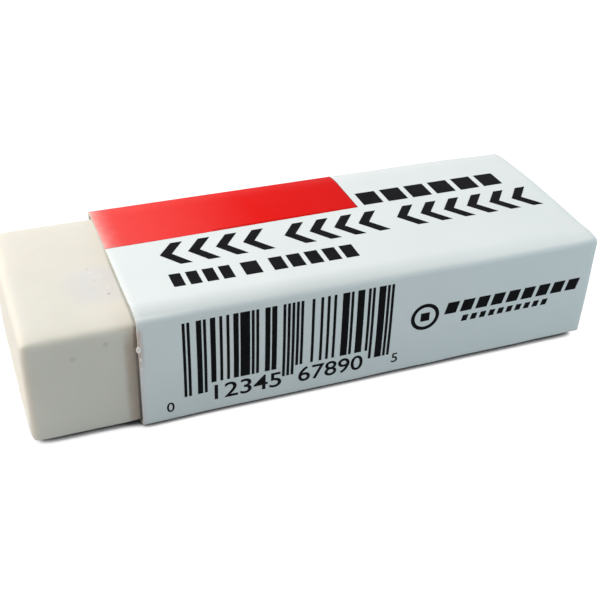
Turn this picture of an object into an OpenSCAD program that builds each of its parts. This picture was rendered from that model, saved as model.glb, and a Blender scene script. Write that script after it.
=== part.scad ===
// Rubber eraser: a soft vinyl block in a folded card sleeve that slides on it.
// The eraser lies on its wide face. +X runs along its length, away from the end that
// rubs, +Z is up, and the origin is under the middle of the whole eraser.

/* [Block] */
// Length of the block
block_l = 65; // [56:0.5:80]
// Width of the block, across its wide face
block_w = 23; // [16:0.5:30]
// Thickness of the block
block_h = 13; // [9:0.5:18]
// Radius of the four long edges
long_edge_r = 1.0; // [0.4:0.1:2]
// Radius of the edges round both ends
end_edge_r = 1.4; // [0.4:0.1:2.5]

/* [Sleeve] */
// Length of the sleeve
sleeve_l = 54; // [40:0.5:54]
// How far the back end of the block sits inside the back mouth of the sleeve
end_recess = 0.5; // [0:0.1:2]
// Thickness of the card
card_t = 0.35; // [0.2:0.05:0.5]
// Play between the block and the card on every side
play = 0.15; // [0.1:0.01:0.3]
// Space between the bottom fold and the raw edge of the lapped outer panel
lap_edge_gap = 0.4; // [0.2:0.1:2]
// Space between the inside of the top panel and the top edge of the glue flap
flap_gap = 3; // [1.5:0.1:5]

/* [Hidden] */
$fn = 96;
// Cutting shapes run past what they cut by this much
past = 1;

// The back panel is two cards thick: the glue flap stands inside the outer panel
lap_t = 2 * card_t;
sleeve_w = block_w + 2 * play + card_t + lap_t;
sleeve_h = block_h + 2 * play + 2 * card_t;
overall_l = block_l + end_recess;

// Inside and outside radius of the folds, which follow the block's long edges
fold_in_r = long_edge_r + play;
fold_out_r = fold_in_r + card_t;

// Planes that the sleeve is set out from; the front panel is at -Y
front_y = -sleeve_w / 2;
back_y = sleeve_w / 2;
lap_edge_z = fold_out_r + lap_edge_gap;
flap_top_z = sleeve_h - card_t - flap_gap;

// Places of the two pieces along X, and of the block inside the sleeve
rub_end_x = -overall_l / 2;
sleeve_x = overall_l / 2 - sleeve_l;
block_y = front_y + card_t + play;
block_z = card_t + play;

// A rectangle from the origin with four round corners
module round_rect(size, r) {
    for (y = [r, size[1] - r])
        for (x = [r, size[0] - r])
            translate([x, y]) circle(r);
    translate([r, 0]) square([size[0] - 2 * r, size[1]]);
    translate([0, r]) square([size[0], size[1] - 2 * r]);
}

// Everything in the section above a height
module above(z) {
    intersection() {
        children();
        translate([front_y - past, z]) square([sleeve_w + 2 * past, sleeve_h]);
    }
}

// Outline of the card's outside: the outer panel laps over the glue flap at the back
module outside_section() {
    translate([front_y, 0]) round_rect([sleeve_w - card_t, sleeve_h], fold_out_r);
    above(lap_edge_z)
        translate([front_y, 0]) round_rect([sleeve_w, sleeve_h], fold_out_r);
}

// Outline of the room inside the card: it is one card wider above the glue flap
module inside_section() {
    room_h = sleeve_h - 2 * card_t;
    translate([front_y + card_t, card_t])
        round_rect([sleeve_w - card_t - lap_t, room_h], fold_in_r);
    above(flap_top_z)
        translate([front_y + card_t, card_t])
            round_rect([sleeve_w - 2 * card_t, room_h], fold_in_r);
}

module card_sleeve() {
    color("whitesmoke")
        translate([sleeve_x, 0, 0])
            rotate([90, 0, 90])
                linear_extrude(sleeve_l)
                    difference() {
                        outside_section();
                        inside_section();
                    }
}

// Three round-cornered bars, one along each axis, leave a block with all edges round
module eraser_block() {
    color("ivory")
        translate([rub_end_x, block_y, block_z])
            intersection() {
                rotate([90, 0, 90])
                    linear_extrude(block_l) round_rect([block_w, block_h], long_edge_r);
                translate([0, block_w, 0])
                    rotate([90, 0, 0])
                        linear_extrude(block_w) round_rect([block_l, block_h], end_edge_r);
                linear_extrude(block_h) round_rect([block_l, block_w], end_edge_r);
            }
}

card_sleeve();
eraser_block();
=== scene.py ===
# %% [markdown]
# # A vinyl eraser in a folded card sleeve
# This lesson builds the looks of a pocket eraser: a soft off-white block that slides in a
# printed card sleeve. The imported model gives every size and place, so the first cell loads
# it and keeps its box.

import math

import bmesh
import bpy
from mathutils import Euler, Matrix, Vector


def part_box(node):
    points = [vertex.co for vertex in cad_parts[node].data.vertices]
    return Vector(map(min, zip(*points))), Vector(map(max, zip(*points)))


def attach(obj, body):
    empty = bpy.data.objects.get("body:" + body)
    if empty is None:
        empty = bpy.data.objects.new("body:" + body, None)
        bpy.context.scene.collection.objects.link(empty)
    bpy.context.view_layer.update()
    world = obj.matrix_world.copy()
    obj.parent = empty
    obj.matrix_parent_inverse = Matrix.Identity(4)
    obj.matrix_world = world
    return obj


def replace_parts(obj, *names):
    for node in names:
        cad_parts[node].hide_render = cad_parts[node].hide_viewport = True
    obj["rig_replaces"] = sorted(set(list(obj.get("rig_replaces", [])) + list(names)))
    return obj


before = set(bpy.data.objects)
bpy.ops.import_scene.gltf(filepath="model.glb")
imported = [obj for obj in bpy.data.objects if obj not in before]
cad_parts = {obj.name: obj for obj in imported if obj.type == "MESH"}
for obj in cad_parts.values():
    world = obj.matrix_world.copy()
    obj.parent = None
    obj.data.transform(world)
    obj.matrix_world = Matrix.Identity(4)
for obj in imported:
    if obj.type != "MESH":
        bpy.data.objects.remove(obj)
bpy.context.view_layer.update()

# %% [markdown]
# Everything is measured in metres, which makes an eraser's sizes awkward to read, so the
# lesson writes them as a number of millimetres times `MM`. The two boxes of the packed
# pieces say where the block and the sleeve lie. What a box can't tell, such as the card's
# thickness or where the glued lap ends, is written here once. The sleeve runs along X, and
# the block stands out of the mouth at its low end. Of the two printed panels the wide one
# looks up, and the narrow one, called the front, looks towards -Y.

# %% Sizes that the pieces share
MM = 0.001
CARD = 0.35 * MM        # thickness of the card
FOLD_R = 0.65 * MM      # outer radius of a crease
GLUE = 0.03 * MM        # glue between the flap and the back panel
FLAP_TOP = 10.65 * MM   # height of the glue flap's free edge
LAP_EDGE = 1.9 * MM     # height at which the back panel ends
block_low, block_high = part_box("eraser_block")
card_low, card_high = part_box("card_sleeve")
mouth_x = card_low.x
front_y = card_low.y
back_y = card_high.y
top_z = card_high.z
print("block mm:", [round(v / MM, 2) for v in block_high - block_low])
print("sleeve mm:", [round(v / MM, 2) for v in card_high - card_low])

# %% [markdown]
# Operators act on whatever is selected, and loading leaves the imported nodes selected. So
# the first helper picks one object alone, and the second opens it for editing. `pick`
# selects vertices, edges or faces by a test on their middle point, which stands in for the
# clicks that a person would make. `nudge` moves what it picked with proportional editing,
# which drags the neighbours along, less and less up to a given distance.

# %% Helpers that select
def only(piece):
    if bpy.context.mode != "OBJECT":
        bpy.ops.object.mode_set(mode="OBJECT")
    bpy.ops.object.select_all(action="DESELECT")
    piece.select_set(True)
    bpy.context.view_layer.objects.active = piece


def edit(piece):
    only(piece)
    bpy.ops.object.mode_set(mode="EDIT")


def leave():
    bpy.ops.object.mode_set(mode="OBJECT")


def middle(item):
    if isinstance(item, bmesh.types.BMVert):
        return item.co
    return sum((v.co for v in item.verts), Vector()) / len(item.verts)


def pick(kind, test):
    """Selects the active piece's VERT, EDGE or FACE items for which test(item, middle) holds."""
    bpy.ops.mesh.select_mode(type=kind)
    bpy.ops.mesh.select_all(action="DESELECT")
    mesh = bmesh.from_edit_mesh(bpy.context.object.data)
    items = {"VERT": mesh.verts, "EDGE": mesh.edges, "FACE": mesh.faces}[kind]
    chosen = [item for item in items if test(item, middle(item))]
    for item in chosen:
        item.select_set(True)
    mesh.select_flush_mode()
    bmesh.update_edit_mesh(bpy.context.object.data)
    return len(chosen)


def nudge(test, move, size, falloff="SMOOTH"):
    """Moves the vertices that pass a test, and drags those within a size along."""
    pick("VERT", test)
    bpy.ops.transform.translate(
        value=move, use_proportional_edit=True, use_proportional_connected=True,
        proportional_edit_falloff=falloff, proportional_size=size)


def apply_modifier(piece, name, kind, **settings):
    only(piece)
    modifier = piece.modifiers.new(name, kind)
    for key, value in settings.items():
        setattr(modifier, key, value)
    bpy.ops.object.modifier_apply(modifier=modifier.name)


# %% [markdown]
# ## The vinyl block
# A real block is cut from a moulded bar: flat faces, edges just taken off, and a skin that
# is a little uneven because the vinyl is soft. A subdivided cube would pull the faces round,
# and a plain bevel would leave them dead flat. So a cube gets a round bevel, and then its
# long edges are subdivided into an even grid, which gives a displacement something to move.
# The edges that it lies on are crisper. A bevel weight says so, as a share of the width.

# %% The block as a bevelled bar with an even grid
EDGE_R = 0.9 * MM         # radius of the block's edges
LOWER_R = 0.5 * MM        # radius of the edges that it lies on
EDGE_STEPS = 6
GRID = 0.55 * MM          # about how large the grid's squares are
MOST_PIECES = (32, 100)   # one subdivide makes at most 100 cuts, so there are two rounds


def cut_along(axis):
    """Divides the long edges that run along an axis, in two rounds, into lengths of GRID."""
    for most in MOST_PIECES:
        def long_edge(edge, _):
            run = edge.verts[1].co - edge.verts[0].co
            return abs(run[axis]) > 0.999 * run.length and run.length > 1.5 * EDGE_R
        if not pick("EDGE", long_edge):
            return
        mesh = bmesh.from_edit_mesh(bpy.context.object.data)
        length = max(edge.calc_length() for edge in mesh.edges if edge.select)
        cuts = min(most, round(length / GRID)) - 1
        if cuts > 0:
            bpy.ops.mesh.subdivide(number_cuts=cuts)


bpy.ops.object.select_all(action="DESELECT")
bpy.ops.mesh.primitive_cube_add(size=1, location=(block_low + block_high) / 2)
block = bpy.context.object
block.name = "vinyl_block"
block.scale = block_high - block_low
bpy.ops.object.transform_apply(location=True, rotation=True, scale=True)
edit(block)
bpy.ops.mesh.select_all(action="SELECT")
bpy.ops.transform.edge_bevelweight(value=1)
pick("EDGE", lambda edge, place: place.z < block_low.z + 0.1 * MM)
bpy.ops.transform.edge_bevelweight(value=LOWER_R / EDGE_R - 1)  # this is added to the 1
leave()
apply_modifier(block, "round", "BEVEL", width=EDGE_R, segments=EDGE_STEPS,
               limit_method="WEIGHT")
edit(block)
for axis in (0, 1, 2):
    cut_along(axis)
leave()
print("block:", len(block.data.polygons), "faces")

# %% [markdown]
# Soft vinyl is never quite flat. Two Displace modifiers with cloud textures press in the
# long, low waves that a cut block has, and then the finer unevenness of its skin. The end
# that rubs has softer edges than the rest: its corner points are selected by how near they
# lie to the end, and are smoothed a few times over. The wide faces are a little pillowed, so
# the top's long edges are nudged down, and the bottom's up. The sleeve squeezes the part
# inside it, which gets a second, wider nudge of the same kind.

# %% The block's worn end and uneven skin
# How near to the end, and how many rounds of smoothing.
WORN = ((2.6 * MM, 3), (1.5 * MM, 5))
# From where on, how far the bottom's and the top's edges move, and how far that reaches.
PILLOWED = ((block_low.x - MM, 0.28 * MM, -0.24 * MM, 2.4 * MM),
            (mouth_x + MM, 0.3 * MM, -0.04 * MM, 3.2 * MM))
# Name of the texture, size of its clouds, and depth.
UNEVEN = (("long_waves", 16 * MM, 0.16 * MM), ("skin", 2.2 * MM, 0.02 * MM))


def clouds(name, size):
    texture = bpy.data.textures.new(name, "CLOUDS")
    texture.noise_scale = size
    texture.noise_depth = 1
    return texture


edit(block)
for reach, rounds in WORN:
    def near_end_edges(vert, place):
        sides = (place.y - block_low.y, block_high.y - place.y,
                 place.z - block_low.z, block_high.z - place.z)
        return place.x - block_low.x < reach and min(sides) < reach
    pick("VERT", near_end_edges)
    bpy.ops.mesh.vertices_smooth(factor=0.5, repeat=rounds)
for start, bottom, top, reach in PILLOWED:
    for side_y in (block_low.y, block_high.y):
        for side_z, move in ((block_low.z, bottom), (block_high.z, top)):
            nudge(lambda v, p: p.x > start and abs(p.y - side_y) < EDGE_R
                  and abs(p.z - side_z) < EDGE_R, (0, 0, move), reach, "SHARP")
leave()
for name, size, depth in UNEVEN:
    apply_modifier(block, name, "DISPLACE", texture=clouds(name, size), strength=depth,
                   mid_level=0.5, texture_coords="LOCAL", direction="NORMAL")
only(block)
bpy.ops.object.shade_smooth()
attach(block, "block")
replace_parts(block, "eraser_block")
print("block mm, worn:", [round(v / MM, 2) for v in block.dimensions])

# %% [markdown]
# ## The card sleeve
# The sleeve is one strip of card, creased four times and glued to itself at the back. It
# could be a hollow box with bevelled edges, but then the lap, the cut edges and the inside
# would all be missing. Here it is folded as the real one is: a row of edges starts at the
# glue flap's free edge, extrudes make the flat panels, and spins make the creases. One
# Solidify at the end gives the sheet its thickness, with other finishes inside and on the
# cut edges.

# %% Fold the strip of card
PANEL_STEP = 0.6 * MM     # about how wide a flat panel's faces are
LENGTH_CUTS = 71          # across the strip, which makes its faces 0.75 mm long
CREASE_STEPS = 10
MERGE = 0.005 * MM        # points this near are one
flap_y = back_y - CARD - GLUE


def panel(dy, dz, length):
    """A flat stretch of card: the open row of edges is extruded in equal steps."""
    steps = max(1, round(length / PANEL_STEP))
    move = (0, dy * length / steps, dz * length / steps)
    for _ in range(steps):
        bpy.ops.mesh.extrude_region_move(TRANSFORM_OT_translate={"value": move})


def crease(y, z):
    """A quarter turn of the open row of edges about a line along the sleeve."""
    bpy.ops.mesh.spin(steps=CREASE_STEPS, angle=math.radians(90), center=(0, y, z),
                      axis=(1, 0, 0))


bpy.ops.object.select_all(action="DESELECT")
bpy.ops.mesh.primitive_plane_add(size=1, rotation=(math.radians(90), 0, 0))
sleeve = bpy.context.object
sleeve.name = "folded_card_sleeve"
sleeve.scale = (card_high.x - card_low.x, PANEL_STEP, 1)
sleeve.location = ((card_low.x + card_high.x) / 2, flap_y, FLAP_TOP - PANEL_STEP / 2)
bpy.ops.object.transform_apply(location=True, rotation=True, scale=True)
edit(sleeve)
pick("EDGE", lambda edge, _: abs(edge.verts[0].co.x - edge.verts[1].co.x) > MM)
bpy.ops.mesh.subdivide(number_cuts=LENGTH_CUTS)
pick("EDGE", lambda edge, _: all(v.co.z < FLAP_TOP - 0.9 * PANEL_STEP for v in edge.verts))
panel(0, -1, FLAP_TOP - PANEL_STEP - FOLD_R)
crease(flap_y - FOLD_R, FOLD_R)
panel(-1, 0, flap_y - front_y - 2 * FOLD_R)
crease(front_y + FOLD_R, FOLD_R)
panel(0, 1, top_z - 2 * FOLD_R)
crease(front_y + FOLD_R, top_z - FOLD_R)
panel(1, 0, back_y - front_y - 2 * FOLD_R)
crease(back_y - FOLD_R, top_z - FOLD_R)
panel(0, -1, top_z - FOLD_R - LAP_EDGE)
bpy.ops.mesh.select_all(action="SELECT")
bpy.ops.mesh.remove_doubles(threshold=MERGE)
bpy.ops.mesh.normals_make_consistent(inside=False)
sheet = bmesh.from_edit_mesh(sleeve.data)
sheet.faces.ensure_lookup_table()
highest = max(sheet.faces, key=lambda face: middle(face).z)
if highest.normal.z < 0:
    bpy.ops.mesh.flip_normals()
print("card sheet:", len(sheet.faces), "faces")

# %% [markdown]
# Card springs back after it is folded, and a sleeve that has lived in a pencil case is no
# sharp box. The wide panels roll gently down to their creases, the top stands up in a low
# crown, and the front bellies out. At the mouth, where the block has been pulled in and out,
# the corner opens away from the block. Moving a few points with proportional editing does
# this as a thumb would: the neighbours follow along the card, and fade out with distance. A
# sharp falloff is steepest at the crease, and a smooth one makes the broad swellings.
# Each crease is named by where its line lies in Y and Z.

# %% Spring and wear at the creases
NEAR_TOP = (front_y, top_z)
FAR_TOP = (back_y, top_z)
NEAR_BOTTOM = (front_y, 0)
FAR_BOTTOM = (flap_y, 0)
# Crease, from and to along the sleeve, move, and how far that reaches: all in millimetres.
CREASE_MOVES = (
    # All four have sprung, so the panels roll down or up to them.
    (NEAR_TOP, -1, 60, (0, 0, -0.22), 2.4, "SHARP"),
    (FAR_TOP, -1, 60, (0, 0, -0.3), 2.4, "SHARP"),
    (NEAR_BOTTOM, -1, 60, (0, 0, 0.45), 2.2, "SHARP"),
    (FAR_BOTTOM, -1, 60, (0, 0, 0.4), 2.6, "SHARP"),
    # The far corner is pressed down, and the near bottom crease rises towards that end.
    (FAR_TOP, 53, 60, (0, 0, -0.2), 9, "SMOOTH"),
    (NEAR_BOTTOM, 28, 60, (0, 0, 0.08), 4, "SMOOTH"),
    (NEAR_BOTTOM, 38, 60, (0, 0, 0.08), 4, "SMOOTH"),
    (NEAR_BOTTOM, 48, 60, (0, 0, 0.08), 4, "SMOOTH"),
    # The near top crease rises towards the mouth, and again at its very end.
    (NEAR_TOP, -1, 6, (0, 0, 0.09), 7, "SMOOTH"),
    (NEAR_TOP, -1, 15, (0, 0, 0.09), 7, "SMOOTH"),
    (NEAR_TOP, -1, 24, (0, 0, 0.09), 7, "SMOOTH"),
    (NEAR_TOP, -1, 33, (0, 0, 0.09), 7, "SMOOTH"),
    (NEAR_TOP, 53.3, 60, (0, -0.05, 0.16), 3.6, "SMOOTH"))


def by_crease(line, low, high):
    """A test for the points by a crease, between two places along the sleeve."""
    def test(vert, place):
        return (low * MM <= place.x - mouth_x <= high * MM
                and abs(place.y - line[0]) < FOLD_R and abs(place.z - line[1]) < FOLD_R)
    return test


for line, low, high, move, reach, falloff in CREASE_MOVES:
    nudge(by_crease(line, low, high), Vector(move) * MM, reach * MM, falloff)

# %% [markdown]
# A panel between two sprung creases can't stay flat: the top swells into a crown, the front
# into a belly, and at the mouth their free edges stand open. A lattice could bend the whole
# sleeve, but it would move the creases too. So the same nudges do it with a wider reach, by
# the panels' middles and by the mouth's edge.

# %% Crown, belly and open mouth
# Test, move in millimetres, and how far that reaches: the crown, the belly of the front, and
# the mouth's front and top edges.
PANEL_MOVES = (
    (lambda v, p: p.z > top_z - 0.01 * MM and abs(p.y) < 0.4 * MM, (0, 0, 0.12), 11),
    (lambda v, p: p.y < front_y + 0.01 * MM and abs(p.z - 7 * MM) < 0.6 * MM, (0, -0.1, 0), 6),
    (lambda v, p: p.x < mouth_x + 0.1 * MM and p.y < front_y + 0.3 * MM
     and abs(p.z - 8 * MM) < 4.5 * MM, (0, -0.22, 0), 9),
    (lambda v, p: p.x < mouth_x + 0.1 * MM and p.z > top_z - 0.4 * MM
     and abs(p.y + 6 * MM) < 4 * MM, (0, 0, 0.1), 8))
for test, move, reach in PANEL_MOVES:
    nudge(test, Vector(move) * MM, reach * MM)
leave()
heights = [vert.co.z for vert in sleeve.data.vertices]
print("crown mm above the packed sleeve:", round((max(heights) - top_z) / MM, 2))

# %% [markdown]
# The card's thickness grows inwards from the printed side, so the outside keeps its size.
# Solidify can hand out materials as it goes: slot 0 stays on the printed side, slot 1 goes
# to the inside, and slot 2 to the cut edges. A hair-thin bevel on the cut edges then lets
# them catch the light.

# %% Card thickness and cut edges
CUT_BEVEL = 0.04 * MM


def new_material(name, gloss=0.2):
    material = bpy.data.materials.new(name)
    material.use_nodes = True
    shader = material.node_tree.nodes["Principled BSDF"]
    shader.inputs["Specular IOR Level"].default_value = gloss
    return material


coated = new_material("coated_card")
inside = new_material("uncoated_inside")
cut_edge = new_material("cut_card_edge")
for material in (coated, inside, cut_edge):
    sleeve.data.materials.append(material)
apply_modifier(sleeve, "card", "SOLIDIFY", thickness=CARD, offset=-1, use_even_offset=True,
               material_offset=1, material_offset_rim=2)
apply_modifier(sleeve, "cut", "BEVEL", width=CUT_BEVEL, segments=2, limit_method="ANGLE",
               angle_limit=math.radians(60))
only(sleeve)
bpy.ops.object.shade_smooth_by_angle(angle=math.radians(40))
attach(sleeve, "sleeve")
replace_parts(sleeve, "card_sleeve")
print("sleeve:", len(sleeve.data.polygons), "faces")

# %% [markdown]
# Where the mouth's front edge has been rubbed and pulled, the card has split and its fibres
# stand out in three small tufts. Each is an icosphere, flattened and roughened with the same
# kind of cloud texture as the block, and half sunk into the card's edge.

# %% Torn fibres at the mouth
# Distance in from the mouth, height, and half the width and height of a tuft, in millimetres.
TUFTS = ((0.0, 10.8, 0.25, 0.42), (0.20, 9.5, 0.13, 0.30), (0.18, 8.4, 0.11, 0.20))
FLAT = 0.7
FRAY_SIZE = 0.16 * MM
FRAY_DEPTH = 0.22 * MM
fibres = new_material("torn_fibres", gloss=0.05)


def front_face_y(x, z):
    """How far forward the sleeve's front stands at a place."""
    spot = sleeve.closest_point_on_mesh((x, front_y - MM, z))[1]
    return spot.y


tufts = []
for inward, z, half_wide, half_tall in TUFTS:
    x = mouth_x + inward * MM
    y = front_face_y(x + 0.1 * MM, z * MM)
    bpy.ops.mesh.primitive_ico_sphere_add(subdivisions=4, radius=MM, location=(x, y, z * MM))
    tuft = bpy.context.object
    tuft.scale = (half_wide, FLAT * half_wide, half_tall)
    bpy.ops.object.transform_apply(location=True, rotation=True, scale=True)
    apply_modifier(tuft, "frayed", "DISPLACE", texture=clouds("frayed", FRAY_SIZE),
                   strength=FRAY_DEPTH, texture_coords="LOCAL")
    tufts.append(tuft)
only(tufts[0])
for tuft in tufts:
    tuft.select_set(True)
bpy.ops.object.join()
torn = bpy.context.object
torn.name = "torn_fibre_tufts"
torn.data.materials.append(fibres)
bpy.ops.object.shade_smooth()
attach(torn, "sleeve")
print("tufts:", len(tufts), "with", len(torn.data.polygons), "faces")

# %% [markdown]
# ## The print
# Print could be painted by the card's material, but a baked picture of it would blur every
# bar. So each colour is a film of ink of its own, a few hundredths of a millimetre thick,
# which follows the card. The red field wraps over the far crease, so it is made from the
# card itself: the faces under it are duplicated, trimmed with bisect, and thickened.

# %% The red field
INK = 0.02 * MM                      # thickness of a film of ink
HAIR = 0.001 * MM                    # shorter than anything that is printed
RED_LENGTH = 30.3 * MM               # from the mouth
RED_WRAP = 2.1 * MM                  # down the back panel
red_near_left = back_y - 9.95 * MM   # the near edge at the mouth
red_near_right = back_y - 9.45 * MM  # the near edge at the field's other end


def trim(place, normal):
    """Cuts everything selected with a plane, and drops the side its normal points to."""
    bpy.ops.mesh.select_all(action="SELECT")
    bpy.ops.mesh.bisect(plane_co=place, plane_no=Vector(normal).normalized(),
                        clear_outer=True, threshold=HAIR)


edit(sleeve)
pick("FACE", lambda face, p: face.material_index == 0 and p.x < mouth_x + RED_LENGTH + MM
     and p.y > red_near_left - 1.5 * MM and p.z > top_z - 2.5 * MM
     and (face.normal.z > 0.3 or p.y > back_y - 0.3 * MM))
bpy.ops.mesh.duplicate()
bpy.ops.mesh.separate(type="SELECTED")
leave()
red = next(o for o in bpy.context.selected_objects if o is not sleeve)
red.name = "red_print_field"
red["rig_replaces"] = []  # the copy doesn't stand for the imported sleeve
edit(red)
slant = Vector((RED_LENGTH, red_near_right - red_near_left, 0))
trim((mouth_x + RED_LENGTH, 0, 0), (1, 0, 0))
trim((mouth_x, red_near_left, 0), slant.cross(Vector((0, 0, 1))))
trim((0, 0, top_z - RED_WRAP), (0, 0, -1))
leave()
red.data.materials.clear()
red_ink = new_material("red_ink", gloss=0.03)
red.data.materials.append(red_ink)
apply_modifier(red, "film", "SOLIDIFY", thickness=INK, offset=0.5)
print("red field:", len(red.data.polygons), "faces")

# %% [markdown]
# The black figures are drawn flat, in millimetres, with u to the right and v down, as on
# the printer's sheet. They stand for no letters: the wide panel carries rows of plain arrow
# heads, small bars and squares, and the front has a made-up bar code with counting
# numerals, a ring with a square in it, and two rows of slanting dashes. Drawing happens in
# one mesh in edit mode, where each new plane or circle is the only thing selected, so it
# can be stretched or leaned at once.

# %% A helper that draws a sheet of figures
ROUND_SIDES = 48


class Sheet:
    """A flat mesh of black figures."""

    def __init__(self, name):
        bpy.ops.object.select_all(action="DESELECT")
        self.piece = bpy.data.objects.new(name, bpy.data.meshes.new(name))
        bpy.context.scene.collection.objects.link(self.piece)
        edit(self.piece)

    def bar(self, u0, u1, v0, v1, lean=0.0):
        centre = Vector(((u0 + u1) / 2, -(v0 + v1) / 2, 0)) * MM
        bpy.ops.mesh.primitive_plane_add(size=1, location=centre)
        size = ((u1 - u0) * MM, (v1 - v0) * MM, 1)
        bpy.ops.transform.resize(value=size, center_override=centre)
        if lean:
            mesh = bmesh.from_edit_mesh(self.piece.data)
            for vert in mesh.verts:
                if vert.select and vert.co.y > centre.y:
                    vert.co.x += lean * MM
            bmesh.update_edit_mesh(self.piece.data)

    def row(self, start, end, count, v0, v1, gap, lean=0.0):
        """Equal bars between two places, with a gap after each but the last."""
        pitch = (end - start - lean + gap) / count
        for k in range(count):
            left = start + k * pitch
            self.bar(left, left + pitch - gap, v0, v1, lean)

    def chevron(self, u0, u1, v0, v1, stroke):
        """An arrow head without a shaft, which points to the left."""
        lean = u1 - u0 - stroke
        v_mid = (v0 + v1) / 2
        self.bar(u0, u0 + stroke, v0, v_mid, lean)
        self.bar(u0 + lean, u0 + lean + stroke, v_mid, v1, -lean)

    def ring(self, u, v, outer, inner):
        bpy.ops.mesh.primitive_circle_add(vertices=ROUND_SIDES, radius=outer * MM,
                                          fill_type="NGON", location=(u * MM, -v * MM, 0))
        bpy.ops.mesh.inset(thickness=(outer - inner) * MM)
        bpy.ops.mesh.delete(type="FACE")


# %% [markdown]
# Numerals come from Blender's own font, as a text object that is made a mesh. Limited
# dissolve joins its triangles into plain faces, which slice cleanly later. A text object
# can't be added while the sheet is in edit mode, so the sheet is left and opened again.

# %% A helper that sets numerals
HEAVIER = 0.009      # how far the outlines grow, in a font of size 1
TEXT_MERGE = 0.002   # points of the outlines this near are one


def set_numerals(sheet, words, u, v, height, width):
    """Numerals whose left foot is at (u, v), as tall as height."""
    leave()
    bpy.ops.object.text_add()
    bpy.context.object.data.body = words
    bpy.context.object.data.offset = HEAVIER
    bpy.ops.object.convert(target="MESH")
    text = bpy.context.object
    edit(text)
    bpy.ops.mesh.select_all(action="SELECT")
    bpy.ops.mesh.remove_doubles(threshold=TEXT_MERGE)
    bpy.ops.mesh.dissolve_limited(angle_limit=0.001)
    leave()
    low = Vector(map(min, *(vert.co for vert in text.data.vertices)))
    high = Vector(map(max, *(vert.co for vert in text.data.vertices)))
    tall = height / (high.y - low.y)
    wide = tall if width is None else width / (high.x - low.x)
    text.data.transform(Matrix.Translation((-low.x, -low.y, 0)))
    text.data.transform(Matrix.Diagonal((wide * MM, tall * MM, 1, 1)))
    text.data.transform(Matrix.Translation((u * MM, -v * MM, 0)))
    sheet.piece.select_set(True)
    bpy.context.view_layer.objects.active = sheet.piece
    bpy.ops.object.join()
    edit(sheet.piece)


# %% [markdown]
# A flat figure would cut through the crowned card, so the sheet is sliced into millimetre
# squares with bisect, carried to its panel, and wrapped on to the card with Shrinkwrap.
# Solidify then makes it a film of ink with a thickness.

# %% Lay a sheet of figures on the card
LIFT = 0.6 * MM         # how far off the card a sheet is held before it is wrapped
CLEAR = 0.004 * MM      # how far off the card the middle of the film lies
JOIN = 0.0001 * MM      # corners of two figures this near become one
SLIVER = 0.004 * MM     # faces and edges smaller than this are dropped


def slice_up(wide, deep):
    """Cuts all figures along the lines between millimetre squares."""
    for count, across, sign in ((wide, Vector((1, 0, 0)), 1), (deep, Vector((0, 1, 0)), -1)):
        for k in range(1, count):
            bpy.ops.mesh.select_all(action="SELECT")
            bpy.ops.mesh.bisect(plane_co=across * sign * k * MM, plane_no=across,
                                threshold=HAIR)


def lay_on_card(sheet, wide, deep, turn, place, inward):
    bpy.ops.mesh.select_all(action="SELECT")
    bpy.ops.mesh.remove_doubles(threshold=JOIN)
    slice_up(wide, deep)
    bpy.ops.mesh.select_all(action="SELECT")
    bpy.ops.mesh.dissolve_degenerate(threshold=SLIVER)
    bpy.ops.mesh.delete_loose()
    leave()
    piece = sheet.piece
    piece.data.transform(Matrix.Translation(place) @ turn.to_matrix().to_4x4())
    apply_modifier(piece, "wrap", "SHRINKWRAP", target=sleeve, wrap_method="PROJECT",
                   wrap_mode="ON_SURFACE", offset=CLEAR, **inward)
    apply_modifier(piece, "film", "SOLIDIFY", thickness=INK, offset=0)
    piece.data.materials.append(black_ink)
    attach(piece, "sleeve")
    print(piece.name, len(piece.data.polygons), "faces")


black_ink = new_material("black_ink", gloss=0.02)
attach(red, "sleeve")

# %% [markdown]
# The wide panel has one tall row of arrow heads in three groups, a row of small bars below
# it in three groups too, and six squares beside the red field. Each row is a loop over its
# groups: where a group starts and ends, and how many figures stand in it.

# %% Figures on the wide panel
HEAD_GROUPS = ((5.3, 17.9, 4), (19.7, 31.9, 4), (33.7, 52.2, 6))
HEAD_TOP, HEAD_FOOT = 10.8, 15.3
HEAD_WIDE, HEAD_STROKE = 3.1, 1.35
BAR_GROUPS = ((5.2, 11.9, 4), (13.1, 15.0, 1), (16.3, 26.2, 5))
BAR_TOP, BAR_FOOT, BAR_GAP = 17.0, 19.6, 0.55
SQUARES = (31.2, 50.0, 6)
SQUARE_TOP, SQUARE_FOOT, SQUARE_GAP = 6.2, 9.2, 0.7
PANEL_LONG, PANEL_WIDE, PANEL_TALL = 54, 24, 14     # in whole millimetre squares
DOWN = {"use_project_z": True, "use_negative_direction": True,
        "use_positive_direction": False}
top_sheet = Sheet("black_print_top")
for start, end, count in HEAD_GROUPS:
    pitch = (end - start - HEAD_WIDE) / (count - 1)
    for k in range(count):
        left = start + k * pitch
        top_sheet.chevron(left, left + HEAD_WIDE, HEAD_TOP, HEAD_FOOT, HEAD_STROKE)
for start, end, count in BAR_GROUPS:
    top_sheet.row(start, end, count, BAR_TOP, BAR_FOOT, BAR_GAP)
top_sheet.row(*SQUARES, SQUARE_TOP, SQUARE_FOOT, SQUARE_GAP)
lay_on_card(top_sheet, PANEL_LONG, PANEL_WIDE, Euler((0, 0, 0)),
            (card_low.x, card_high.y, top_z + LIFT), DOWN)

# %% [markdown]
# A shop's bar code writes each numeral as seven modules, dark or light. The left half and
# the right half use opposite patterns. The guard bars at the ends and in the middle run
# lower than the rest, and so do those of the first and the last numeral. Neighbouring dark
# modules are drawn as one bar, a little wider than they are, as ink spreads in the card.

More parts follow.
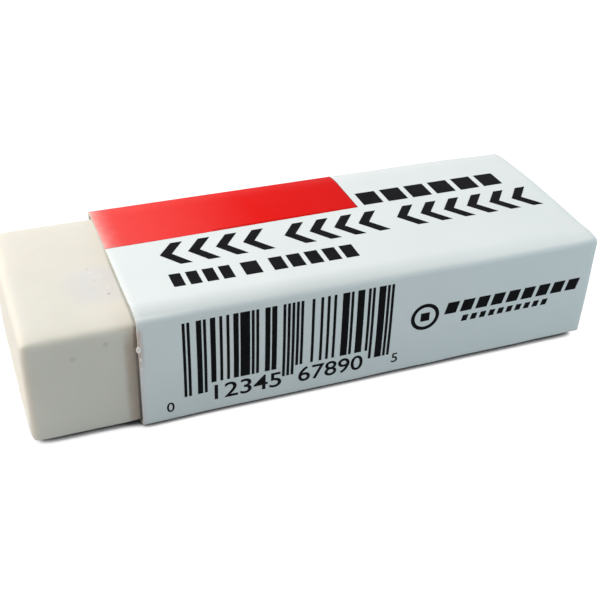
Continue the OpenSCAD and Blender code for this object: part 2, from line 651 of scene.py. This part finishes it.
# %% Bar code
SEVENS = ("0001101", "0011001", "0010011", "0111101", "0100011",
          "0110001", "0101111", "0111011", "0110111", "0001011")
CODE = "012345678905"
MODULE = 0.25
SPREAD = 0.035
CODE_LEFT, CODE_TOP = 4.6, 1.1
SHORT_FOOT, LONG_FOOT = 9.4, 10.6
# A bar that ends between these modules is a long one.
LONG_ENDS = ((1, 10), (45, 50), (86, 95))


def code_modules():
    left = "".join(SEVENS[int(n)] for n in CODE[:6])
    right = "".join(SEVENS[int(n)] for n in CODE[6:])
    right = right.translate(str.maketrans("01", "10"))
    return "101" + left + "01010" + right + "101"


front_sheet = Sheet("black_print_front")
modules = code_modules()
start = None
for k, dark in enumerate(modules + "0"):
    if dark == "1" and start is None:
        start = k
    if dark == "0" and start is not None:
        is_long = any(low <= k <= high for low, high in LONG_ENDS)
        front_sheet.bar(CODE_LEFT + start * MODULE - SPREAD, CODE_LEFT + k * MODULE + SPREAD,
                        CODE_TOP, LONG_FOOT if is_long else SHORT_FOOT)
        start = None
print("bar code:", len(modules), "modules,", len(modules) * MODULE, "mm wide")

# %% [markdown]
# The numerals stand below their own bars, the outer two smaller and outside the guard bars.
# The ring and the dashes fill the rest of the front.

# %% Numerals, ring and dashes on the front
# Numerals, left end, foot, height and width (None keeps the font's own proportions).
NUMERALS = ((CODE[1:6], 7.9, 11.9, 2.05, 7.6), (CODE[6:11], 17.5, 11.9, 2.05, 7.7),
            (CODE[0], 2.6, 12.2, 1.3, None), (CODE[11], 28.8, 11.9, 1.3, None))
# Start, end, number, top, foot, gap and lean of a row of dashes.
DASHES = ((34.9, 52.6, 9, 5.0, 6.5, 0.5, 0.4), (37.2, 48.6, 10, 7.1, 7.9, 0.45, 0.2))
RING = (32.5, 6.3, 1.75, 1.3)
RING_SQUARE = (31.95, 33.05, 5.75, 6.85)
BACK = {"use_project_y": True}
for words, u, v, height, width in NUMERALS:
    set_numerals(front_sheet, words, u, v, height, width)
front_sheet.ring(*RING)
front_sheet.bar(*RING_SQUARE)
for dashes in DASHES:
    front_sheet.row(*dashes)
lay_on_card(front_sheet, PANEL_LONG, PANEL_TALL, Euler((math.radians(90), 0, 0)),
            (card_low.x, card_low.y - LIFT, card_high.z), BACK)

# %% [markdown]
# ## Materials
# Each finish is a short function of nodes that read Object coordinates, so that a pattern
# stays put on its piece. The helper adds a node and links it in one line. Noise gives most
# of its values between 0.3 and 0.7, so `uneven` stretches those to the two ends it is given.

# %% A helper for nodes
NOISE_ENDS = (0.3, 0.7)


class Nodes:
    """The node tree of one material, with its Object coordinates."""

    def __init__(self, material):
        self.tree = material.node_tree
        self.shader = self.tree.nodes["Principled BSDF"]
        self.object = self.add("ShaderNodeTexCoord").outputs["Object"]

    def add(self, kind, **settings):
        node = self.tree.nodes.new(kind)
        for key, value in settings.items():
            setattr(node, key, value)
        return node

    def link(self, source, target):
        self.tree.links.new(source, target)

    def feed(self, source, socket):
        self.link(source, self.shader.inputs[socket])

    def noise(self, scale, detail, roughness=0.5):
        node = self.add("ShaderNodeTexNoise")
        node.inputs["Scale"].default_value = scale
        node.inputs["Detail"].default_value = detail
        node.inputs["Roughness"].default_value = roughness
        self.link(self.object, node.inputs["Vector"])
        return node.outputs["Fac"]

    def remap(self, source, low, high, to_low, to_high):
        node = self.add("ShaderNodeMapRange")
        for name, value in (("From Min", low), ("From Max", high),
                            ("To Min", to_low), ("To Max", to_high)):
            node.inputs[name].default_value = value
        self.link(source, node.inputs["Value"])
        return node.outputs["Result"]

    def uneven(self, low, high, *noise):
        return self.remap(self.noise(*noise), *NOISE_ENDS, low, high)

    def mottled(self, tones, spread, *noise):
        """Two tones mixed by noise: they part more sharply the smaller the spread is."""
        node = self.add("ShaderNodeValToRGB")
        for stop, place, tone in zip(node.color_ramp.elements, (-spread, spread), tones):
            stop.position = 0.5 + place
            stop.color = (*tone, 1.0)
        self.link(self.noise(*noise), node.inputs["Fac"])
        return node.outputs["Color"]

    def bump(self, depth, *noise, under=None):
        node = self.add("ShaderNodeBump")
        node.inputs["Distance"].default_value = depth
        node.inputs["Strength"].default_value = 1.0
        self.link(self.noise(*noise), node.inputs["Height"])
        if under is not None:
            self.link(under, node.inputs["Normal"])
        return node.outputs["Normal"]


# %% [markdown]
# Wear, rubbed ink and grime lie in certain places, which an image would be painted for. A
# mask does it without one: a value that goes from 0 to 1 between two places on an axis, or
# around a point. Masks are multiplied where all of them have to hold, and a colour is then
# blended in by what comes out.

# %% A helper for masks
SOLID = 0.55      # the share of a spot's radius within which it has its full strength


class Masks(Nodes):
    """The nodes of a material that changes from place to place."""

    def along(self, axis, start, end, from_value=0.0, to_value=1.0):
        """A value that changes between two places on an axis of the piece."""
        split = self.add("ShaderNodeSeparateXYZ")
        self.link(self.object, split.inputs["Vector"])
        return self.remap(split.outputs[axis], start, end, from_value, to_value)

    def near(self, point, radius):
        """1 at a point of the piece, falling to 0 at a radius."""
        gap = self.add("ShaderNodeVectorMath", operation="DISTANCE")
        gap.inputs[1].default_value = point
        self.link(self.object, gap.inputs[0])
        return self.remap(gap.outputs["Value"], SOLID * radius, radius, 1.0, 0.0)

    def product(self, *values):
        last = values[0]
        for value in values[1:]:
            node = self.add("ShaderNodeMath", operation="MULTIPLY", use_clamp=True)
            self.link(last, node.inputs[0])
            if isinstance(value, float):
                node.inputs[1].default_value = value
            else:
                self.link(value, node.inputs[1])
            last = node.outputs[0]
        return last

    def blend(self, factor, under, over):
        """The colour under, covered by the constant colour over where factor is 1."""
        node = self.add("ShaderNodeMix", data_type="RGBA")
        colour_inputs = [i for i in node.inputs if i.type == "RGBA"]
        colour_inputs[1].default_value = (*over, 1.0)
        self.link(factor, node.inputs["Factor"])
        self.link(under, colour_inputs[0])
        return next(o for o in node.outputs if o.type == "RGBA")


# %% [markdown]
# Sleeve card is bleached, with a thin smooth coating outside. Its white is barely uneven,
# and its gloss is broad. The wide panel is greyer beside the near crease: painted shade of
# its roll down to the crease, fainter towards the far end. At the mouth the front panel's
# edge is rubbed, and round the torn fibres the brownish ply below the coating shows.

# %% Coated card
CARD_WHITE = ((0.69, 0.72, 0.71), (0.71, 0.74, 0.73))
# Painted shade beside the near crease.
CREASE_PAINTED_SHADE = (0.56, 0.59, 0.585)
RUBBED = (0.70, 0.66, 0.70)
TORN_PLY = (0.60, 0.48, 0.42)


def finish_coated(material):
    n = Masks(material)
    tone = n.mottled(CARD_WHITE, 0.15, 90, 4)
    # Painted shade beside the crease, clear of its curve, and fainter from 20 mm in from the
    # mouth.
    crease_shade = n.product(n.along("Y", front_y + 2.9 * MM, front_y + 0.7 * MM),
                      n.along("Y", front_y + 0.1 * MM, front_y + 0.5 * MM),
                      n.along("X", mouth_x + 20 * MM, mouth_x + 47 * MM, 1.0, 0.2))
    tone = n.blend(crease_shade, tone, CREASE_PAINTED_SHADE)
    # Below the crease, at the mouth's edge; the fibres stand in the upper front part of it.
    front = n.along("Z", top_z - 1.2 * MM, top_z - 0.6 * MM, 1.0, 0.0)
    rub = n.product(n.along("X", mouth_x + 0.2 * MM, mouth_x + 0.7 * MM, 0.5, 0.0), front)
    tone = n.blend(rub, tone, RUBBED)
    tear = n.product(n.along("X", mouth_x + 0.05 * MM, mouth_x + 0.65 * MM, 1.0, 0.0), front,
                     n.along("Z", 8.0 * MM, 9.6 * MM), n.along("Y", 0.0, -2.0 * MM))
    n.feed(n.blend(tear, tone, TORN_PLY), "Base Color")
    n.feed(n.uneven(0.30, 0.42, 260, 3), "Roughness")
    fine = n.bump(0.004 * MM, 3200, 2)
    n.feed(n.bump(0.04 * MM, 160, 2, under=fine), "Normal")


finish_coated(coated)
print(coated.name, len(coated.node_tree.nodes), "nodes")

# %% [markdown]
# The card has no coating inside or in its cut edges. Both show the fibre: matt, a little
# yellow, mottled at the scale of a hair. The cut edges are darker and greyer, partly as
# painted shade for the dark seam at the mouth. The torn tufts are the same stuff, paler
# because they are loose and let light through.

# %% Bare card fibre
# Dark and light tone, and roughness.
INSIDE_FIBRE = ((0.62, 0.58, 0.51), (0.74, 0.70, 0.63)), 0.85
# Darker and greyer than the inside, partly painted shade for the seam at the mouth.
CUT_FIBRE_AND_SEAM_SHADE = ((0.42, 0.41, 0.37), (0.64, 0.62, 0.56)), 0.9
LOOSE_FIBRE = ((0.84, 0.71, 0.67), (0.93, 0.85, 0.81)), 0.9


def finish_fibre(material, tones, rough):
    n = Nodes(material)
    n.feed(n.mottled(tones, 0.2, 1500, 5, 0.7), "Base Color")
    n.shader.inputs["Roughness"].default_value = rough
    n.feed(n.bump(0.03 * MM, 2600, 4), "Normal")
    print(material.name, "dark and light:", *tones)


finish_fibre(inside, *INSIDE_FIBRE)
finish_fibre(cut_edge, *CUT_FIBRE_AND_SEAM_SHADE)
finish_fibre(fibres, *LOOSE_FIBRE)

# %% [markdown]
# Ink is nearly matt. The red one is deeper towards the field's far end: painted shade, as
# the light from the left falls off along it. It is rubbed at the mouth, where fingers hold
# the sleeve while the block is pushed: a band of a few millimetres lets the paper through,
# most of all at the very edge, and that band is also a painted highlight. A fainter painted
# sheen of the warm light reaches further along. A mask multiplied by itself twice falls off
# more steeply, which gives the band its strong edge.

# %% Inks
RED = ((0.75, 0.007, 0.005), (0.79, 0.010, 0.007))
# The deeper red is painted shade at the far end, the haze a painted sheen, and the paper tone
# rubbed wear with a painted highlight.
RED_WITH_PAINTED_SHADE = (0.63, 0.004, 0.003)
PAINTED_SHEEN = (0.85, 0.80, 0.76)
RUBBED_PAPER_AND_HIGHLIGHT = (0.85, 0.76, 0.70)
BLACK = ((0.004, 0.004, 0.005), (0.008, 0.008, 0.009))


def ink_colour(n, tones):
    return n.mottled(tones, 0.2, 900, 4, 0.6)


def ink_surface(n, rough):
    n.feed(n.uneven(rough, rough + 0.1, 300, 3), "Roughness")
    n.feed(n.bump(0.04 * MM, 160, 2), "Normal")


def finish_red(material):
    n = Masks(material)
    # Painted shade towards the far end, then a painted sheen and highlight at the mouth over
    # rubbed ink.
    far_shade = n.along("X", mouth_x + 6 * MM, mouth_x + 30 * MM)
    deep = n.blend(far_shade, ink_colour(n, RED), RED_WITH_PAINTED_SHADE)
    sheen = n.along("X", mouth_x, mouth_x + 18 * MM, 0.075, 0.0)
    red_with_sheen = n.blend(sheen, deep, PAINTED_SHEEN)
    edge = n.along("X", mouth_x - 0.3 * MM, mouth_x + 3.2 * MM, 1.0, 0.0)
    patchy = n.uneven(0.6, 1.0, 750, 3, 0.6)
    rubbed_and_highlit = n.blend(n.product(edge, edge, edge, patchy, 0.6), red_with_sheen, RUBBED_PAPER_AND_HIGHLIGHT)
    n.feed(rubbed_and_highlit, "Base Color")
    ink_surface(n, 0.36)


def finish_black(material):
    n = Nodes(material)
    n.feed(ink_colour(n, BLACK), "Base Color")
    ink_surface(n, 0.45)


finish_red(red_ink)
finish_black(black_ink)
print("inks:", red_ink.name, black_ink.name)

# %% [markdown]
# Vinyl lets a little light in, which subsurface scattering does. Where the card's edge
# meets the block, its colour is darkened: a brownish band on its front, painted shade from
# the sleeve's mouth with some grime, and a dark line of painted shade right at the card, on
# the front and a short way over the top. Handling has left a faint smudge on the top, and a
# few specks on both; a broad patch of painted shade darkens the top's left part and middle.
# Each is a mask of places along the axes, or of a distance to a point, in millimetres.

# %% Where the block is soiled, and where shade is painted on it
# Place, radius, strength and tone: a smudge near the mouth, then a broad patch of painted shade
# over the top's left part and middle.
SMUDGE_AND_SHADE_PATCHES = (((-23.2, -3.4, 13.5), 4.5, 0.6, (0.61, 0.595, 0.60)),
           ((-29.8, -4.6, 13.5), 7.0, 0.3, (0.57, 0.56, 0.51)))
# Place, radius and tone.
SPECKS = (((-23.52, -1.00, 13.5), 0.26, (0.685, 0.665, 0.61)),
          ((-22.84, -1.84, 13.5), 0.22, (0.685, 0.665, 0.61)),
          ((-23.53, -2.64, 13.5), 0.16, (0.56, 0.53, 0.47)),
          ((-22.42, -4.40, 13.5), 0.26, (0.685, 0.665, 0.61)),
          ((-22.56, -5.54, 13.5), 0.24, (0.50, 0.47, 0.43)),
          ((-23.81, -0.28, 13.5), 0.18, (0.56, 0.53, 0.47)),
          ((-27.70, -11.67, 10.58), 0.42, (0.585, 0.55, 0.475)),
          ((-24.32, -11.67, 11.65), 0.36, (0.585, 0.55, 0.475)))
ON_FRONT = ("Y", -10.8, -11.3)
# Along the sleeve from the mouth: where a mark starts and is full, and where it fades and
# is gone. Then what else it keeps to, each with an axis, where it starts and where it is
# full. Then its strength and its tone. The first row is a brownish band on the front,
# painted shade from the sleeve's mouth with some grime. The next three are a dark line of
# painted shade in the gap at the card's edge: on the front, darker towards its bottom, and
# over the near half of the top. The last darkens a brown wedge high on the front at the mouth.
GRIME_AND_GAP_SHADE = ((-1.5, -1.0, 0.6, 2.2, (ON_FRONT, ("Z", 12.6, 10.8)), 1.0, (0.54, 0.46, 0.385)),
         (-0.26, -0.1, 0.2, 0.5, (ON_FRONT, ("Z", 13.3, 12.9)), 1.3, (0.36, 0.31, 0.29)),
         (-0.26, -0.1, 0.2, 0.5, (ON_FRONT, ("Z", 8.0, 2.0)), 1.0, (0.20, 0.19, 0.20)),
         (-0.18, -0.06, 0.2, 0.5, (("Z", 12.9, 13.2), ("Y", 3.5, 0.0)), 1.1,
          (0.46, 0.46, 0.41)),
         (-0.45, -0.2, 0.2, 0.6, (ON_FRONT, ("Z", 9.0, 11.0), ("Z", 12.9, 12.3)), 1.0,
          (0.34, 0.27, 0.22)))
print("smudges, specks, grime:", len(SMUDGE_AND_SHADE_PATCHES), len(SPECKS), len(GRIME_AND_GAP_SHADE))

# %% [markdown]
# The colour is built up from below: the vinyl's own cream, then the smudge and the broad
# painted shade, the grime and painted shade at the mouth, and the specks, each blended over
# what is there. All but the specks are made patchy by one noise. Two bumps of noise give
# the skin its fine grain.

# %% Vinyl
CREAM = ((0.66, 0.623, 0.545), (0.695, 0.658, 0.58))


def finish_vinyl(material):
    n = Masks(material)
    colour = n.mottled(CREAM, 0.15, 70, 4)
    patchy = n.uneven(0.65, 1.0, 650, 4, 0.6)
    # A smudge, and a broad patch of painted shade.
    for place, radius, strength, tone in SMUDGE_AND_SHADE_PATCHES:
        smudge_and_shade = n.product(n.near(Vector(place) * MM, radius * MM), patchy, strength)
        colour = n.blend(smudge_and_shade, colour, tone)
    # Painted shade at the mouth and in the gap at the card's edge, with some grime.
    for starts, full, fades, gone, kept_to, strength, tone in GRIME_AND_GAP_SHADE:
        mask = [n.along("X", mouth_x + starts * MM, mouth_x + full * MM),
                n.along("X", mouth_x + fades * MM, mouth_x + gone * MM, 1.0, 0.0)]
        mask += [n.along(axis, start * MM, end * MM) for axis, start, end in kept_to]
        colour = n.blend(n.product(*mask, patchy, strength), colour, tone)
    for place, radius, tone in SPECKS:
        colour = n.blend(n.near(Vector(place) * MM, radius * MM), colour, tone)
    n.feed(colour, "Base Color")
    n.feed(n.uneven(0.5, 0.65, 400, 3), "Roughness")
    n.shader.inputs["Subsurface Weight"].default_value = 0.25
    n.shader.inputs["Subsurface Scale"].default_value = 1.0 * MM
    n.shader.inputs["Subsurface Radius"].default_value = (1.0, 0.8, 0.5)
    fine = n.bump(0.012 * MM, 2400, 3)
    n.feed(n.bump(0.05 * MM, 420, 4, under=fine), "Normal")


vinyl = new_material("vinyl")
block.data.materials.append(vinyl)
finish_vinyl(vinyl)
print(vinyl.name, len(vinyl.node_tree.nodes), "nodes")

# %% [markdown]
# ## Stage, light and camera
# The floor is white for the camera, and grey for light that bounces off it, so that the
# object's sides fall into shade as over a plain table. What the camera sees of it is mostly
# a glow of its own, which makes it as white as the backdrop however the lamps stand. Close
# under the object the glow would drown the dark line of contact. So Ambient Occlusion,
# which measures how much of the sky a point sees, takes the glow away there and lets a
# shaded white show that darkens with it.

# %% Helpers for the stage
def add_node(tree, kind, **values):
    """A new node, with inputs set by name: an underscore stands for a space."""
    node = tree.nodes.new(kind)
    for socket, value in values.items():
        node.inputs[socket.replace("_", " ")].default_value = value
    return node


def seen_directly(tree):
    """1 where a camera, glossy or transmission ray asks, and 0 for light on its way round."""
    path = add_node(tree, "ShaderNodeLightPath")
    last = path.outputs["Is Camera Ray"]
    for name in ("Is Glossy Ray", "Is Transmission Ray"):
        node = add_node(tree, "ShaderNodeMath")
        node.operation = "MAXIMUM"
        tree.links.new(last, node.inputs[0])
        tree.links.new(path.outputs[name], node.inputs[1])
        last = node.outputs[0]
    return last


def mix(tree, factor, first, second):
    """A shader that goes from the first to the second as the factor goes from 0 to 1."""
    node = add_node(tree, "ShaderNodeMixShader")
    tree.links.new(factor, node.inputs["Fac"])
    tree.links.new(first.outputs[0], node.inputs[1])
    tree.links.new(second.outputs[0], node.inputs[2])
    return node


# %% Floor
FLOOR_SIZE = 6
BOUNCE_GREY = (0.42, 0.43, 0.44, 1)
# From how much open sky to how much, and what that becomes: the tone of the shaded white,
# and the share of the glow. The glow times its full share is about 1, which is white.
CONTACT = {"From_Min": 0.44, "From_Max": 0.64, "To_Min": 0.1}
GLOW_SHARE = {"From_Min": 0.22, "From_Max": 0.38, "To_Max": 0.88}
GLOW = 1.13


def finish_floor(material):
    tree = material.node_tree
    tree.nodes.remove(tree.nodes["Principled BSDF"])
    open_sky = add_node(tree, "ShaderNodeAmbientOcclusion", Distance=5 * MM).outputs["AO"]
    contact = add_node(tree, "ShaderNodeMapRange", **CONTACT)
    tree.links.new(open_sky, contact.inputs["Value"])
    shaded = add_node(tree, "ShaderNodeBsdfDiffuse")
    tree.links.new(contact.outputs["Result"], shaded.inputs["Color"])
    share = add_node(tree, "ShaderNodeMapRange", **GLOW_SHARE)
    tree.links.new(open_sky, share.inputs["Value"])
    glow = add_node(tree, "ShaderNodeEmission", Strength=GLOW)
    seen = mix(tree, share.outputs["Result"], shaded, glow)
    grey = add_node(tree, "ShaderNodeBsdfDiffuse", Color=BOUNCE_GREY)
    whole = mix(tree, seen_directly(tree), grey, seen)
    tree.links.new(whole.outputs[0], tree.nodes["Material Output"].inputs["Surface"])


bpy.ops.object.select_all(action="DESELECT")
bpy.ops.mesh.primitive_plane_add(size=FLOOR_SIZE, location=(0, 0, 0))
floor = bpy.context.object
floor.name = "floor"
floor_white = bpy.data.materials.new("floor_white")
floor_white.use_nodes = True
floor.data.materials.append(floor_white)
finish_floor(floor_white)
print("floor:", FLOOR_SIZE, "m square")

# %% [markdown]
# The world is plain white to the camera, and a dimmer, slightly blue sky to the object. It
# fills the shadows, and the lamps do the rest.

# %% Backdrop
SKY = {"Color": (0.92, 0.97, 1.0, 1), "Strength": 0.40}
BACKDROP = {"Color": (1, 1, 1, 1), "Strength": 1.0}


def make_world():
    world = bpy.data.worlds.new("plain_white")
    bpy.context.scene.world = world
    world.use_nodes = True
    tree = world.node_tree
    sky = add_node(tree, "ShaderNodeBackground", **SKY)
    backdrop = add_node(tree, "ShaderNodeBackground", **BACKDROP)
    whole = mix(tree, seen_directly(tree), sky, backdrop)
    tree.links.new(whole.outputs[0], tree.nodes["World Output"].inputs["Surface"])
    tree.nodes.remove(tree.nodes["Background"])


make_world()
print("sky:", SKY)

# %% [markdown]
# A studio lights small things with large soft lamps, so that shadows have no hard edge.
# Three square area lamps do that here, and about a watt is plenty this near. The one
# overhead stands behind, so the top is the brightest face and the front is in shade. The
# warm one at the left is for the red field and the block's rubbing end. The cool one at the
# right brushes along the front.

# %% Lights
# Name, place, what it points at, side, watts and colour.
LAMPS = (("overhead", (-0.15, 0.2, 0.27), (0, 0, 0), 0.28, 1.21, (1.0, 1.0, 1.0)),
         ("warm_left", (-0.23, 0.0, 0.11), (-0.03, 0, 0.007), 0.18, 0.29, (1.0, 0.92, 0.84)),
         ("cool_front", (0.20, -0.175, 0.075), (0.02, 0, 0.005), 0.16, 0.256,
          (0.68, 0.90, 1.0)))


def softbox(name, place, target, side, watts, colour):
    data = bpy.data.lights.new(name, "AREA")
    data.shape = "SQUARE"
    data.size = side
    data.energy = watts
    data.color = colour
    lamp = bpy.data.objects.new(name, data)
    bpy.context.scene.collection.objects.link(lamp)
    lamp.location = place
    aim = Vector(target) - Vector(place)
    lamp.rotation_euler = aim.to_track_quat("-Z", "Y").to_euler()
    print(name, "stands", round(aim.length, 3), "m away")


for lamp in LAMPS:
    softbox(*lamp)

# %% [markdown]
# The camera looks down on the near long side from the left. Its place and aim were worked
# out from how the eraser's edges converge. It is turned from its own axes: `back` points
# from the object to the camera, and a small roll tips the picture. A shift moves the frame
# over without turning the camera, which would change how the edges converge.

# %% Camera
CAMERA_PLACE = Vector((-37.4, -96.2, 74.2)) * MM
AZIMUTH, ELEVATION, ROLL = -22.44, 35.33, 2.52      # degrees
LENS = 62.58                                        # focal length and sensor, millimetres
SENSOR = 36
SHIFT_X, SHIFT_Y = -0.0155, 0.0398                  # shares of the frame's width
NEAREST = 5 * MM


def camera_turn():
    a, e, r = (math.radians(v) for v in (AZIMUTH, ELEVATION, ROLL))
    back = Vector((math.sin(a) * math.cos(e), -math.cos(a) * math.cos(e), math.sin(e)))
    right = (-back).cross(Vector((0, 0, 1))).normalized()
    up = right.cross(-back)
    x_axis = right * math.cos(r) + up * math.sin(r)
    y_axis = up * math.cos(r) - right * math.sin(r)
    return Matrix((x_axis, y_axis, back)).transposed().to_4x4()


lens = bpy.data.cameras.new("camera")
lens.lens = LENS
lens.sensor_width = SENSOR
lens.shift_x = SHIFT_X
lens.shift_y = SHIFT_Y
lens.clip_start = NEAREST
camera = bpy.data.objects.new("camera", lens)
bpy.context.scene.collection.objects.link(camera)
camera.matrix_world = Matrix.Translation(CAMERA_PLACE) @ camera_turn()
bpy.context.scene.camera = camera
bpy.context.scene.view_settings.view_transform = "Standard"
print("camera to the eraser, m:", round(CAMERA_PLACE.length, 3))
